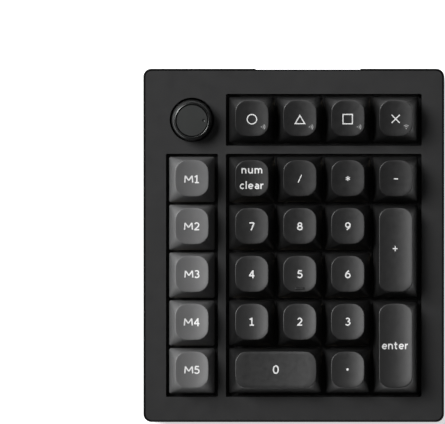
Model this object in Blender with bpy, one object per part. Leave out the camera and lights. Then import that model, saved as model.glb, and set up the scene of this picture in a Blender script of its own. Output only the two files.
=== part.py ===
"""Numeric keypad: a two-part aluminium case on rubber feet, twenty-six sprung keys and a rotary knob.

Everything on the deck is modelled in the deck's own frame: X to the right, Y to the rear, Z up out of
the deck, with Z = 0 on the top face of the case. The deck leans by the typing angle above the desk.
"""

import math

import bmesh
import bpy
from mathutils import Matrix, Vector

MM = 0.001
GAP = 0.3 * MM  # clearance between pieces that rest on each other

# Key grid
PITCH = 19.05 * MM
MACRO_COLUMN = -2.125
COLUMNS = (-0.875, 0.125, 1.125, 2.125)  # in pitches from the middle of the deck
ROWS = (2.625, 1.375, 0.375, -0.625, -1.625, -2.625)  # rear row first
KEY_AREA = (5.25 * PITCH, 6.25 * PITCH)
TRAVEL = 3.6 * MM

# Case
TYPING_ANGLE = math.radians(5.2)
WINDOW_GAP = 0.8 * MM
SIDE_MARGIN = 9.0 * MM
END_MARGIN = 10.05 * MM
CASE_WIDTH = KEY_AREA[0] + 2 * (WINDOW_GAP + SIDE_MARGIN)
CASE_DEPTH = KEY_AREA[1] + 2 * (WINDOW_GAP + END_MARGIN)
CASE_RADIUS = 3.2 * MM
TOP_CHAMFER = 0.9 * MM
FRONT_EDGE_HEIGHT = 21.5 * MM
SEAM_Z = -9.0 * MM
CEILING_Z = -4.6 * MM
LEDGE_Z = -10.9 * MM
FLOOR_Z = -17.2 * MM
UPPER_POCKET = (110.6 * MM, 127.2 * MM)
LOWER_POCKET = (105.0 * MM, 121.0 * MM)
CORNER_POST = (4.6 * MM, 3.5 * MM)  # how far the screw posts reach into the corners of the upper pocket
BASE_CHAMFER = 1.2 * MM

# Feet
FOOT_HEIGHT = 2.0 * MM
FOOT_SINK = 1.0 * MM
FOOT_SIZE = (20.0 * MM, 8.0 * MM)
FOOT_PLACES = ((-44.0, -51.0), (44.0, -51.0), (-44.0, 54.0), (44.0, 54.0))

# Layers below the keys
PLATE_Z = -7.0 * MM
PLATE_THICKNESS = 1.5 * MM
PLATE_SIZE = (108.6 * MM, 125.2 * MM)
PCB_Z = -12.0 * MM
PCB_THICKNESS = 1.6 * MM
BOARD_SIZE = (103.0 * MM, 119.0 * MM)
FOAM_SIZE = (102.4 * MM, 119.0 * MM)

# Switch and keycap
HOUSING_TOP_Z = -0.4 * MM
WELL_SIZE = (7.4 * MM, 6.0 * MM)
SLIDER_SIZE = (6.6 * MM, 5.2 * MM)
CAP_BASE_Z = -1.4 * MM
CAP_BASE = 18.1 * MM
CAP_TAPER = (5.5 * MM, 3.8 * MM)
CAP_SHIFT = 1.25 * MM  # the top face sits this far behind the middle of the key
CAP_WALL = 1.4 * MM
ROOF = 2.4 * MM
DISH = 0.9 * MM
PROFILES = {  # height in mm and lean of the top face in degrees, towards the user when positive
    "rear": (11.0, 7.0),
    "upper": (9.9, 3.0),
    "home": (9.5, -1.0),
    "lower": (9.7, -4.0),
}

# Stabilisers under the double keys
STAB_REACH = 11.94 * MM
STAB_ARM = 8.2 * MM
WIRE_RADIUS = 0.8 * MM
WIRE_Z = -8.6 * MM
WIRE_LEAN = math.asin(TRAVEL / 2 / STAB_ARM)

# Knob and encoder
KNOB_PLACE = (MACRO_COLUMN * PITCH, ROWS[0] * PITCH)
KNOB_HOLE = 8.85 * MM
SHAFT_RADIUS = 3.0 * MM
KNOB_PRESS = 0.5 * MM

# Screws and the rear connectors
SCREW_PLACES = ((-54.0, -62.9), (54.0, -62.9), (-54.0, 62.9), (54.0, 62.9))
SCREW_HEAD_Z = -16.2 * MM
RECESS_X = (-15.2 * MM, 26.5 * MM)
RECESS_DEPTH = 0.35 * MM
PORT_Z = -18.0 * MM
PORT_X = -7.0 * MM
MODE_X = 7.5 * MM
SYSTEM_X = 19.0 * MM
IO_BOARD_Z = -20.0 * MM
IO_WALL_Y = 66.9 * MM

KEYS = (  # name, column, row, pitches wide, pitches deep, profile, colour
    ("circle", COLUMNS[0], ROWS[0], 1, 1, "rear", "black"),
    ("triangle", COLUMNS[1], ROWS[0], 1, 1, "rear", "black"),
    ("square", COLUMNS[2], ROWS[0], 1, 1, "rear", "black"),
    ("cross", COLUMNS[3], ROWS[0], 1, 1, "rear", "black"),
    ("m1", MACRO_COLUMN, ROWS[1], 1, 1, "rear", "grey"),
    ("m2", MACRO_COLUMN, ROWS[2], 1, 1, "upper", "grey"),
    ("m3", MACRO_COLUMN, ROWS[3], 1, 1, "home", "grey"),
    ("m4", MACRO_COLUMN, ROWS[4], 1, 1, "lower", "grey"),
    ("m5", MACRO_COLUMN, ROWS[5], 1, 1, "lower", "grey"),
    ("num_clear", COLUMNS[0], ROWS[1], 1, 1, "rear", "black"),
    ("divide", COLUMNS[1], ROWS[1], 1, 1, "rear", "black"),
    ("multiply", COLUMNS[2], ROWS[1], 1, 1, "rear", "black"),
    ("minus", COLUMNS[3], ROWS[1], 1, 1, "rear", "black"),
    ("7", COLUMNS[0], ROWS[2], 1, 1, "upper", "black"),
    ("8", COLUMNS[1], ROWS[2], 1, 1, "upper", "black"),
    ("9", COLUMNS[2], ROWS[2], 1, 1, "upper", "black"),
    ("plus", COLUMNS[3], (ROWS[2] + ROWS[3]) / 2, 1, 2, "home", "black"),
    ("4", COLUMNS[0], ROWS[3], 1, 1, "home", "black"),
    ("5", COLUMNS[1], ROWS[3], 1, 1, "home", "black"),
    ("6", COLUMNS[2], ROWS[3], 1, 1, "home", "black"),
    ("1", COLUMNS[0], ROWS[4], 1, 1, "lower", "black"),
    ("2", COLUMNS[1], ROWS[4], 1, 1, "lower", "black"),
    ("3", COLUMNS[2], ROWS[4], 1, 1, "lower", "black"),
    ("enter", COLUMNS[3], (ROWS[4] + ROWS[5]) / 2, 1, 2, "lower", "black"),
    ("0", (COLUMNS[0] + COLUMNS[1]) / 2, ROWS[5], 2, 1, "lower", "black"),
    ("point", COLUMNS[2], ROWS[5], 1, 1, "lower", "black"),
)
DOUBLE_KEYS = tuple(key for key in KEYS if key[3] + key[4] > 2)

FINISHES = {  # colour, roughness, metallic
    "case_aluminium": ((0.040, 0.040, 0.040), 0.45, 0.6),
    "knob_aluminium": ((0.045, 0.047, 0.046), 0.35, 0.7),
    "keycap_black": ((0.022, 0.022, 0.023), 0.42, 0.0),
    "keycap_grey": ((0.150, 0.150, 0.152), 0.42, 0.0),
    "switch_plastic": ((0.03, 0.03, 0.03), 0.5, 0.0),
    "circuit_board": ((0.012, 0.014, 0.013), 0.4, 0.0),
    "foam": ((0.02, 0.02, 0.02), 0.95, 0.0),
    "gasket_rubber": ((0.03, 0.03, 0.03), 0.85, 0.0),
    "foot_rubber": ((0.012, 0.012, 0.012), 0.8, 0.0),
    "steel": ((0.55, 0.56, 0.58), 0.3, 1.0),
    "black_steel": ((0.02, 0.02, 0.02), 0.4, 0.8),
    "battery_wrap": ((0.35, 0.36, 0.38), 0.5, 0.2),
    "lever_plastic": ((0.02, 0.02, 0.02), 0.5, 0.0),
}


# ---------------------------------------------------------------- outlines and meshes


def rounded_outline(size, radius, steps=3, centre=(0.0, 0.0)):
    """Points of a rectangle with round corners, counter-clockwise, steps + 1 of them on each corner."""
    half_x = size[0] / 2 - radius
    half_y = size[1] / 2 - radius
    points = []
    for corner, (sign_x, sign_y) in enumerate(((1, 1), (-1, 1), (-1, -1), (1, -1))):
        for step in range(steps + 1):
            angle = math.pi / 2 * (corner + step / steps)
            x = centre[0] + sign_x * half_x + radius * math.cos(angle)
            y = centre[1] + sign_y * half_y + radius * math.sin(angle)
            points.append((x, y))
    return points


def notched_outline(size, notch):
    """Points of a rectangle with a smaller rectangle left out of each corner, counter-clockwise."""
    x, y = size[0] / 2, size[1] / 2
    near_x, near_y = x - notch[0], y - notch[1]
    quarter = ((x, near_y), (near_x, near_y), (near_x, y))
    points = list(quarter)
    points += [(-px, py) for px, py in reversed(quarter)]
    points += [(-px, -py) for px, py in quarter]
    points += [(px, -py) for px, py in reversed(quarter)]
    return points


def at_height(outline, z):
    return [Vector((x, y, z)) for x, y in outline]


def add_solid(bm, rings, apex=None):
    """Adds a closed body skinned over rings of equal length, with flat ends or a last apex point."""
    loops = [[bm.verts.new(point) for point in ring] for ring in rings]
    count = len(loops[0])
    for lower, upper in zip(loops, loops[1:]):
        for i in range(count):
            j = (i + 1) % count
            bm.faces.new((lower[i], lower[j], upper[j], upper[i]))
    bm.faces.new(reversed(loops[0]))
    if apex is None:
        bm.faces.new(loops[-1])
        return
    tip = bm.verts.new(apex)
    for i in range(count):
        bm.faces.new((loops[-1][i], loops[-1][(i + 1) % count], tip))


def add_prism(bm, outline, low, high):
    add_solid(bm, [at_height(outline, low), at_height(outline, high)])


def add_box(bm, x, y, z):
    """Adds a box from three (low, high) pairs."""
    corners = [(x[0], y[0]), (x[1], y[0]), (x[1], y[1]), (x[0], y[1])]
    add_prism(bm, corners, z[0], z[1])


def add_centred_box(bm, centre, size, z):
    add_box(
        bm,
        (centre[0] - size[0] / 2, centre[0] + size[0] / 2),
        (centre[1] - size[1] / 2, centre[1] + size[1] / 2),
        z,
    )


def add_cylinder(bm, centre, radius, low, high, sides=12):
    outline = [
        (
            centre[0] + radius * math.cos(2 * math.pi * i / sides),
            centre[1] + radius * math.sin(2 * math.pi * i / sides),
        )
        for i in range(sides)
    ]
    add_prism(bm, outline, low, high)


def mesh_of(build):
    """A mesh from a function that fills a bmesh, with its faces pointing out."""
    bm = bmesh.new()
    build(bm)
    bmesh.ops.recalc_face_normals(bm, faces=bm.faces)
    mesh = bpy.data.meshes.new("shape")
    bm.to_mesh(mesh)
    bm.free()
    return mesh


def combine(base, steps):
    """Joins or cuts the base mesh by each (operation, mesh) in turn and returns the resulting mesh."""
    carrier = bpy.data.objects.new("carrier", base)
    bpy.context.scene.collection.objects.link(carrier)
    helpers = []
    for operation, mesh in steps:
        helper = bpy.data.objects.new("helper", mesh)
        bpy.context.scene.collection.objects.link(helper)
        helpers.append(helper)
        boolean = carrier.modifiers.new(operation, "BOOLEAN")
        boolean.operation = operation
        boolean.solver = "EXACT"
        boolean.object = helper
    graph = bpy.context.evaluated_depsgraph_get()
    result = bpy.data.meshes.new_from_object(carrier.evaluated_get(graph))
    for helper in (carrier, *helpers):
        bpy.data.objects.remove(helper)
    return result


def turned(profile, sides):
    """A mesh from a profile of (radius, z) that starts and ends on the axis."""
    bm = bmesh.new()
    verts = [bm.verts.new((radius, 0, z)) for radius, z in profile]
    edges = [bm.edges.new(pair) for pair in zip(verts, verts[1:])]
    bmesh.ops.spin(
        bm,
        geom=verts + edges,
        axis=(0, 0, 1),
        cent=(0, 0, 0),
        angle=2 * math.pi,
        steps=sides,
        use_merge=True,
    )
    bmesh.ops.remove_doubles(bm, verts=bm.verts, dist=0.001 * MM)
    bmesh.ops.recalc_face_normals(bm, faces=bm.faces)
    mesh = bpy.data.meshes.new("turned")
    bm.to_mesh(mesh)
    bm.free()
    return mesh


# ---------------------------------------------------------------- objects


def finish_material(name):
    colour, roughness, metallic = FINISHES[name]
    material = bpy.data.materials.get(name) or bpy.data.materials.new(name)
    material.use_nodes = True
    shader = material.node_tree.nodes["Principled BSDF"]
    shader.inputs["Base Color"].default_value = (*colour, 1.0)
    shader.inputs["Roughness"].default_value = roughness
    shader.inputs["Metallic"].default_value = metallic
    return material


def add_object(name, data, finish, parent, location=(0, 0, 0), rotation=(0, 0, 0)):
    piece = bpy.data.objects.new(name, data)
    bpy.context.scene.collection.objects.link(piece)
    piece.parent = parent
    piece.location = location
    piece.rotation_euler = rotation
    if not data.materials:
        data.materials.append(finish_material(finish))
    if isinstance(data, bpy.types.Mesh):
        data.shade_smooth()
        data.set_sharp_from_angle(angle=math.radians(30))
    return piece


def add_empty(name, parent=None):
    empty = bpy.data.objects.new(name, None)
    bpy.context.scene.collection.objects.link(empty)
    empty.parent = parent
    return empty


def deck_matrix():
    """Places the deck so that its front edge has its height and its middle stands over the origin."""
    lift = FRONT_EDGE_HEIGHT + CASE_DEPTH / 2 * math.sin(TYPING_ANGLE)
    return Matrix.Translation((0, 0, lift)) @ Matrix.Rotation(TYPING_ANGLE, 4, "X")


def world_ring(outline, height):
    """A level outline above the desk, expressed in the deck's frame."""
    to_deck = deck_matrix().inverted()
    return [to_deck @ Vector((x, y, height)) for x, y in outline]


def leaning_ring(z, inset=0.0):
    """The case's outline at a depth under the deck. Only the rear wall stands upright on the desk."""
    loss = -z * math.tan(TYPING_ANGLE)
    size = (CASE_WIDTH - 2 * inset, CASE_DEPTH - loss - 2 * inset)
    outline = rounded_outline(size, CASE_RADIUS - inset, 8, (0, -loss / 2))
    return at_height(outline, z)


# ---------------------------------------------------------------- case


def key_centre(key):
    return Vector((key[1] * PITCH, key[2] * PITCH, 0))


def window(low_column, high_column, low_row, high_row):
    """The outline of an opening round a block of keys, from its outermost key centres in pitches."""
    size = (
        (high_column - low_column + 1) * PITCH + 2 * WINDOW_GAP,
        (high_row - low_row + 1) * PITCH + 2 * WINDOW_GAP,
    )
    centre = ((low_column + high_column) / 2 * PITCH, (low_row + high_row) / 2 * PITCH)
    return rounded_outline(size, 0.5 * MM, 2, centre)


def rear_recess(bm):
    """The shallow field down the rear wall that the connectors open into."""
    to_deck = deck_matrix().inverted()
    rear = CASE_DEPTH / 2 * math.cos(TYPING_ANGLE) - RECESS_DEPTH
    rings = []
    for x in RECESS_X:
        corners = ((rear, 8 * MM), (rear + 4 * MM, 8 * MM), (rear + 4 * MM, 36 * MM), (rear, 36 * MM))
        rings.append([to_deck @ Vector((x, y, z)) for y, z in corners])
    add_solid(bm, rings)


def screw_points():
    return [Vector((x * MM, y * MM, 0)) for x, y in SCREW_PLACES]


def top_case():
    def shell(bm):
        add_solid(bm, [leaning_ring(SEAM_Z), leaning_ring(-TOP_CHAMFER), leaning_ring(0, TOP_CHAMFER)])

    def openings(bm):
        low, high = SEAM_Z - MM, MM
        add_prism(bm, window(COLUMNS[0], COLUMNS[3], ROWS[0], ROWS[0]), low, high)
        add_prism(bm, window(COLUMNS[0], COLUMNS[3], ROWS[5], ROWS[1]), low, high)
        add_prism(bm, window(MACRO_COLUMN, MACRO_COLUMN, ROWS[5], ROWS[1]), low, high)
        add_cylinder(bm, KNOB_PLACE, KNOB_HOLE, low, high, 40)

    def pocket(bm):
        add_prism(bm, notched_outline(UPPER_POCKET, CORNER_POST), SEAM_Z - MM, CEILING_Z)

    def threads(bm):
        for point in screw_points():
            add_cylinder(bm, point, 1.25 * MM, SEAM_Z - MM, -3.6 * MM, 10)

    return combine(
        mesh_of(shell),
        [
            ("DIFFERENCE", mesh_of(pocket)),
            ("DIFFERENCE", mesh_of(openings)),
            ("DIFFERENCE", mesh_of(threads)),
            ("DIFFERENCE", mesh_of(rear_recess)),
        ],
    )


def base_ring(height, inset=0.0):
    """The case's level outline at a height above the desk, in the deck's frame."""
    half_depth = CASE_DEPTH / 2 * math.cos(TYPING_ANGLE)
    front = -half_depth + (FRONT_EDGE_HEIGHT - height) * math.tan(TYPING_ANGLE)
    size = (CASE_WIDTH - 2 * inset, half_depth - front - 2 * inset)
    return world_ring(rounded_outline(size, CASE_RADIUS, 8, (0, (half_depth + front) / 2)), height)


def bottom_case():
    def shell(bm):
        add_solid(
            bm,
            [
                base_ring(FOOT_HEIGHT, BASE_CHAMFER),
                base_ring(FOOT_HEIGHT + BASE_CHAMFER),
                leaning_ring(SEAM_Z - GAP),
            ],
        )

    def main_pocket(bm):
        add_prism(bm, rounded_outline(LOWER_POCKET, 3 * MM, 3), FLOOR_Z, SEAM_Z + MM)

    def ledge(bm):
        add_prism(bm, notched_outline(UPPER_POCKET, CORNER_POST), LEDGE_Z, SEAM_Z + 2 * MM)

    def battery_pocket(bm):
        add_box(bm, (-33 * MM, 33 * MM), (6 * MM, 46 * MM), (-24.6 * MM, FLOOR_Z + MM))

    def io_pocket(bm):
        add_box(bm, (-17.5 * MM, 28.5 * MM), (50 * MM, IO_WALL_Y), (-22.8 * MM, SEAM_Z + 3 * MM))

    def wall_slots(bm):
        reach = (IO_WALL_Y - MM, CASE_DEPTH / 2 + 2 * MM)
        add_slot(bm, PORT_X, (12.2 * MM, 6.4 * MM), 3.1 * MM, reach)
        add_slot(bm, MODE_X, (8.0 * MM, 3.2 * MM), 0.8 * MM, reach)
        add_slot(bm, SYSTEM_X, (6.0 * MM, 3.2 * MM), 0.8 * MM, reach)

    def foot_recesses(bm):
        for place in FOOT_PLACES:
            ring = foot_outline(place, 0.3 * MM)
            add_solid(bm, [world_ring(ring, FOOT_HEIGHT - MM), world_ring(ring, FOOT_HEIGHT + FOOT_SINK)])

    def clearance_holes(bm):
        for point in screw_points():
            add_cylinder(bm, point, 1.8 * MM, SCREW_HEAD_Z - MM, SEAM_Z + MM, 12)

    def counterbores(bm):
        for point in screw_points():
            add_cylinder(bm, point, 2.9 * MM, -40 * MM, SCREW_HEAD_Z, 16)

    cuts = (
        main_pocket, ledge, battery_pocket, io_pocket, wall_slots,
        foot_recesses, rear_recess, clearance_holes, counterbores,
    )  # fmt: skip
    return combine(mesh_of(shell), [("DIFFERENCE", mesh_of(cut)) for cut in cuts])


def add_slot(bm, x, size, radius, reach):
    """Adds a rounded bar along Y at the connectors' height."""
    outline = rounded_outline(size, radius, 3, (x, PORT_Z))
    rings = [[Vector((px, y, pz)) for px, pz in outline] for y in reach]
    add_solid(bm, rings)


def foot_outline(place, grow=0.0):
    size = (FOOT_SIZE[0] + 2 * grow, FOOT_SIZE[1] + 2 * grow)
    return rounded_outline(size, size[1] / 2 - 0.01 * MM, 5, (place[0] * MM, place[1] * MM))


def foot():
    def pad(bm):
        edge = 0.5 * MM
        shrunk = foot_outline((0, 0), -edge)
        full = foot_outline((0, 0))
        top = FOOT_HEIGHT + FOOT_SINK - GAP
        add_solid(bm, [at_height(shrunk, 0), at_height(full, edge), at_height(full, top)])

    return mesh_of(pad)


def screw():
    """A socket-head screw along Z, with its head's underside at Z = 0 and its shank pointing up."""

    def body(bm):
        add_cylinder(bm, (0, 0), 2.6 * MM, -2.6 * MM, 0, 16)

    def shank(bm):
        add_cylinder(bm, (0, 0), 1.0 * MM, -0.5 * MM, 11.8 * MM, 10)

    def socket(bm):
        add_cylinder(bm, (0, 0), 1.4 * MM, -4 * MM, -1.2 * MM, 6)

    return combine(mesh_of(body), [("UNION", mesh_of(shank)), ("DIFFERENCE", mesh_of(socket))])


# ---------------------------------------------------------------- keys


def cap_outline(size, radius):
    return rounded_outline(size, radius, 3)


def stab_offsets(wide):
    """The two stabiliser places beside the middle of a double key."""
    axis = Vector((1, 0, 0)) if wide else Vector((0, 1, 0))
    return [axis * STAB_REACH, axis * -STAB_REACH]


def keycap(wide, deep, profile):
    """A cap with its base at Z = 0, joined with the switch slider that it is pressed onto."""
    height, lean = PROFILES[profile]
    height *= MM
    slope = math.tan(math.radians(lean))
    base = (CAP_BASE + (wide - 1) * PITCH, CAP_BASE + (deep - 1) * PITCH)
    top = (base[0] - CAP_TAPER[0], base[1] - CAP_TAPER[1])

    def top_ring(grow, drop, radius, scale=1.0):
        ring = []
        for x, y in cap_outline((top[0] + grow, top[1] + grow), radius):
            ring.append(Vector((x * scale, y * scale + CAP_SHIFT, height - drop + y * scale * slope)))
        return ring

    def body(bm):
        rings = [
            at_height(cap_outline(base, 1.2 * MM), 0),
            top_ring(0.5 * MM, 0.7 * MM, 3.6 * MM),
            top_ring(-0.3 * MM, 0, 3.4 * MM),
            top_ring(-0.3 * MM, 0.75 * DISH, 3.4 * MM, 0.5),
        ]
        add_solid(bm, rings, Vector((0, CAP_SHIFT, height - DISH)))

    ceiling = height - ROOF
    share = ceiling / height
    roof_size = [base[i] - share * CAP_TAPER[i] - 2 * CAP_WALL for i in (0, 1)]

    def hollow(bm):
        mouth = [length - 2 * CAP_WALL for length in base]
        rings = [
            at_height(rounded_outline(mouth, 0.6 * MM, 1), -0.01 * MM),
            at_height(rounded_outline(roof_size, 0.6 * MM, 1, (0, share * CAP_SHIFT)), ceiling),
        ]
        add_solid(bm, rings)

    def boss(bm):
        low, high = -2 * MM - CAP_BASE_Z, ceiling + MM
        add_cylinder(bm, (0, 0), 2.7 * MM, low, high, 12)

    def slider(bm):
        low, high = -6.5 * MM - CAP_BASE_Z, -0.3 * MM - CAP_BASE_Z
        add_centred_box(bm, (0, 0), SLIDER_SIZE, (low, high))

    def stab_stems(bm):
        low, high = WIRE_Z + TRAVEL / 2 - 2.3 * MM - CAP_BASE_Z, ceiling + MM
        size = (4.4 * MM, 3.4 * MM) if wide > 1 else (3.4 * MM, 4.4 * MM)
        for offset in stab_offsets(wide > 1):
            add_centred_box(bm, offset, size, (low, high))

    def wire_holes(bm):
        middle = WIRE_Z + TRAVEL / 2 - CAP_BASE_Z
        size = (2.3 * MM, 8 * MM) if wide > 1 else (8 * MM, 2.3 * MM)
        for offset in stab_offsets(wide > 1):
            add_centred_box(bm, offset, size, (middle - 1.5 * MM, middle + 1.5 * MM))

    steps = [
        ("DIFFERENCE", mesh_of(hollow)),
        ("UNION", mesh_of(boss)),
        ("UNION", mesh_of(slider)),
    ]
    if wide + deep > 2:
        steps += [("UNION", mesh_of(stab_stems)), ("DIFFERENCE", mesh_of(wire_holes))]
    return combine(mesh_of(body), steps)


def stab_places():
    """(centre of the stabiliser, True if its wire runs along X) for both ends of each double key."""
    return [
        (key_centre(key) + offset, key[3] > 1)
        for key in DOUBLE_KEYS
        for offset in stab_offsets(key[3] > 1)
    ]


def stab_rectangle(centre, along_x, across, length, shift=0.0):
    """(centre, size) of a rectangle that lies across the wire, moved towards the wire's bar by shift."""
    if along_x:
        return centre + Vector((0, -shift, 0)), (across, length)
    return centre + Vector((-shift, 0, 0)), (length, across)


def wire_bars(overhang, width):
    """(centre, size) of a rectangle over the bar of each stabiliser's wire."""
    rectangles = []
    for key in DOUBLE_KEYS:
        size = (2 * STAB_REACH + overhang, width)
        if key[3] > 1:
            rectangles.append((key_centre(key) + Vector((0, -STAB_ARM, 0)), size))
        else:
            rectangles.append((key_centre(key) + Vector((-STAB_ARM, 0, 0)), size[::-1]))
    return rectangles


def switch_plate():
    """The plate with the switch housings and stabiliser housings that are clipped into it."""
    bottom = PLATE_Z - PLATE_THICKNESS

    def plate(bm):
        add_prism(bm, rounded_outline(PLATE_SIZE, 1.5 * MM, 2), bottom, PLATE_Z)

    def notches(bm):
        for point in screw_points():
            add_centred_box(bm, point, (8.4 * MM, 8.8 * MM), (bottom - MM, PLATE_Z + MM))

    def wire_bar_slots(bm):
        for centre, size in wire_bars(2.4 * MM, 2.2 * MM):
            add_centred_box(bm, centre, size, (bottom - MM, PLATE_Z + MM))

    def wire_arm_slots(bm):
        for centre, along_x in stab_places():
            middle, size = stab_rectangle(centre, along_x, 2.4 * MM, STAB_ARM, STAB_ARM / 2)
            add_centred_box(bm, middle, size, (bottom - MM, PLATE_Z + MM))

    def encoder_opening(bm):
        add_centred_box(bm, KNOB_PLACE, (13.6 * MM, 14.6 * MM), (bottom - MM, PLATE_Z + MM))

    def housings(bm):
        for key in KEYS:
            x, y, _ = key_centre(key)
            rings = [
                at_height(rounded_outline((14 * MM, 14 * MM), 0.4 * MM, 1, (x, y)), PCB_Z + GAP),
                at_height(rounded_outline((14 * MM, 14 * MM), 0.4 * MM, 1, (x, y)), PLATE_Z - 0.2 * MM),
                at_height(rounded_outline((15.6 * MM, 15.6 * MM), 0.4 * MM, 1, (x, y)), PLATE_Z - 0.1 * MM),
                at_height(rounded_outline((15.6 * MM, 15.6 * MM), 0.4 * MM, 1, (x, y)), PLATE_Z + MM),
                at_height(rounded_outline((11 * MM, 11 * MM), 0.4 * MM, 1, (x, y)), HOUSING_TOP_Z),
            ]
            add_solid(bm, rings)

    def stab_housings(bm):
        for centre, along_x in stab_places():
            middle, size = stab_rectangle(centre, along_x, 6.6 * MM, 9.0 * MM, 0.0)
            add_centred_box(bm, middle, size, (PCB_Z + GAP, PLATE_Z + 2.4 * MM))

    def wells(bm):
        for key in KEYS:
            add_centred_box(bm, key_centre(key), WELL_SIZE, (PCB_Z + 1.3 * MM, 1 * MM))

    def stab_wells(bm):
        for centre, along_x in stab_places():
            middle, size = stab_rectangle(centre, along_x, 5.2 * MM, 4.4 * MM)
            add_centred_box(bm, middle, size, (PCB_Z - MM, 0))

    def arm_slots(bm):
        for centre, along_x in stab_places():
            middle, size = stab_rectangle(centre, along_x, 2.4 * MM, 9.0 * MM, 2.0 * MM)
            add_centred_box(bm, middle, size, (PCB_Z - MM, WIRE_Z + 3.4 * MM))

    return combine(
        mesh_of(plate),
        [
            ("DIFFERENCE", mesh_of(notches)),
            ("DIFFERENCE", mesh_of(encoder_opening)),
            ("DIFFERENCE", mesh_of(wire_bar_slots)),
            ("DIFFERENCE", mesh_of(wire_arm_slots)),
            ("UNION", mesh_of(housings)),
            ("UNION", mesh_of(stab_housings)),
            ("DIFFERENCE", mesh_of(wells)),
            ("DIFFERENCE", mesh_of(stab_wells)),
            ("DIFFERENCE", mesh_of(arm_slots)),
        ],
    )


def stabiliser_wire():
    """A wire bent into a U in its own XY plane, with its bar on the X axis and its arms along +Y."""
    bend = 1.6 * MM
    arm = STAB_ARM + 1.4 * MM
    half = [(STAB_REACH, arm)]
    for step in range(4):
        angle = math.pi / 2 * step / 3
        half.append((STAB_REACH - bend + bend * math.cos(angle), bend - bend * math.sin(angle)))
    points = half + [(-x, y) for x, y in reversed(half)]
    curve = bpy.data.curves.new("stabiliser_wire", "CURVE")
    curve.dimensions = "3D"
    curve.bevel_depth = WIRE_RADIUS
    curve.bevel_resolution = 1
    curve.use_fill_caps = True
    spline = curve.splines.new("POLY")
    spline.points.add(len(points) - 1)
    for target, (x, y) in zip(spline.points, points):
        target.co = (x, y, 0, 1)
    return curve


# ---------------------------------------------------------------- inside the case


def layer(low, high, size, hole_groups=(), notch_rear=0.0):
    """A flat layer under the deck with groups of rectangular holes, each hole (centre, size)."""

    def slab(bm):
        centre = (0, -notch_rear / 2)
        add_prism(bm, rounded_outline((size[0], size[1] - notch_rear), 2 * MM, 2, centre), low, high)

    def cutter(holes):
        bm = bmesh.new()
        for centre, hole in holes:
            add_centred_box(bm, centre, hole, (low - MM, high + MM))
        bmesh.ops.recalc_face_normals(bm, faces=bm.faces)
        mesh = bpy.data.meshes.new("holes")
        bm.to_mesh(mesh)
        bm.free()
        return mesh

    return combine(mesh_of(slab), [("DIFFERENCE", cutter(holes)) for holes in hole_groups])


def plate_foam():
    switch_holes = [(key_centre(key), (14.7 * MM, 14.7 * MM)) for key in KEYS]
    encoder_hole = [(KNOB_PLACE, (13.2 * MM, 14.2 * MM))]
    stab_holes = [
        stab_rectangle(centre, along_x, 7.3 * MM, 14.6 * MM, 2.4 * MM)
        for centre, along_x in stab_places()
    ]
    low, high = PCB_Z + GAP, PLATE_Z - PLATE_THICKNESS - GAP
    groups = [switch_holes + encoder_hole, stab_holes, wire_bars(0, 3.0 * MM)]
    return layer(low, high, FOAM_SIZE, groups)


def circuit_board():
    stem_holes = [stab_rectangle(centre, along_x, 5.6 * MM, 5.4 * MM) for centre, along_x in stab_places()]
    return layer(PCB_Z - PCB_THICKNESS, PCB_Z, BOARD_SIZE, [stem_holes])


def case_foam():
    return layer(FLOOR_Z + GAP, PCB_Z - PCB_THICKNESS - GAP, BOARD_SIZE, notch_rear=13 * MM)


def gasket(along_y):
    """A rubber channel that slips over the plate's edge, with its open side facing the plate."""
    length = 90 * MM if along_y else 80 * MM
    profile = [
        (-2.7, -2.1), (0.7, -2.1), (0.7, 3.6), (-2.7, 3.6),
        (-2.7, 1.8), (0.3, 1.8), (0.3, -0.3), (-2.7, -0.3),
    ]  # fmt: skip

    def channel(bm):
        rings = []
        for end in (-length / 2, length / 2):
            middle = PLATE_Z - PLATE_THICKNESS
            rings.append([Vector((across * MM, end, middle + up * MM)) for across, up in profile])
        add_solid(bm, rings)

    return mesh_of(channel)


def battery():
    def cell(bm):
        outline = rounded_outline((64 * MM, 5.8 * MM), 1.6 * MM, 3)
        rings = [[Vector((x, y, z)) for x, z in outline] for y in (-18.5 * MM, 18.5 * MM)]
        add_solid(bm, rings)

    return mesh_of(cell)


def io_board():
    return layer(IO_BOARD_Z - 1.2 * MM, IO_BOARD_Z, (44 * MM, 15 * MM))


def usb_c_port():
    """The receptacle along Y with its mouth at Y = 0, facing the rear."""

    def bar(size, radius, low, high):
        def build(bm):
            outline = rounded_outline(size, radius, 4)
            add_solid(bm, [[Vector((x, y, z)) for x, z in outline] for y in (low, high)])

        return mesh_of(build)

    return combine(
        bar((8.94 * MM, 3.26 * MM), 1.5 * MM, -7.3 * MM, 0),
        [
            ("DIFFERENCE", bar((8.34 * MM, 2.56 * MM), 1.2 * MM, -6.5 * MM, MM)),
            ("UNION", bar((6.7 * MM, 0.7 * MM), 0.1 * MM, -6.8 * MM, -0.6 * MM)),
        ],
    )


def slide_switch(length, slot):
    """A slide switch's metal body, with its front at Y = 0 facing the rear and a slot for the lever."""

    def body(bm):
        add_box(bm, (-length / 2, length / 2), (-3.4 * MM, 0), (-1.7 * MM, 1.7 * MM))

    def groove(bm):
        add_box(bm, (-slot / 2, slot / 2), (-2.2 * MM, MM), (-0.95 * MM, 0.95 * MM))

    return combine(mesh_of(body), [("DIFFERENCE", mesh_of(groove))])


def switch_lever():
    """A slide switch's lever, from inside the body's slot to just inside the case wall."""

    def lever(bm):
        wide, narrow, height = 1.1 * MM, 0.75 * MM, 0.65 * MM
        corners = [(-wide, -1.9 * MM), (wide, -1.9 * MM), (narrow, 2.0 * MM), (-narrow, 2.0 * MM)]
        add_prism(bm, corners, -height, height)

    return mesh_of(lever)


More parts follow.
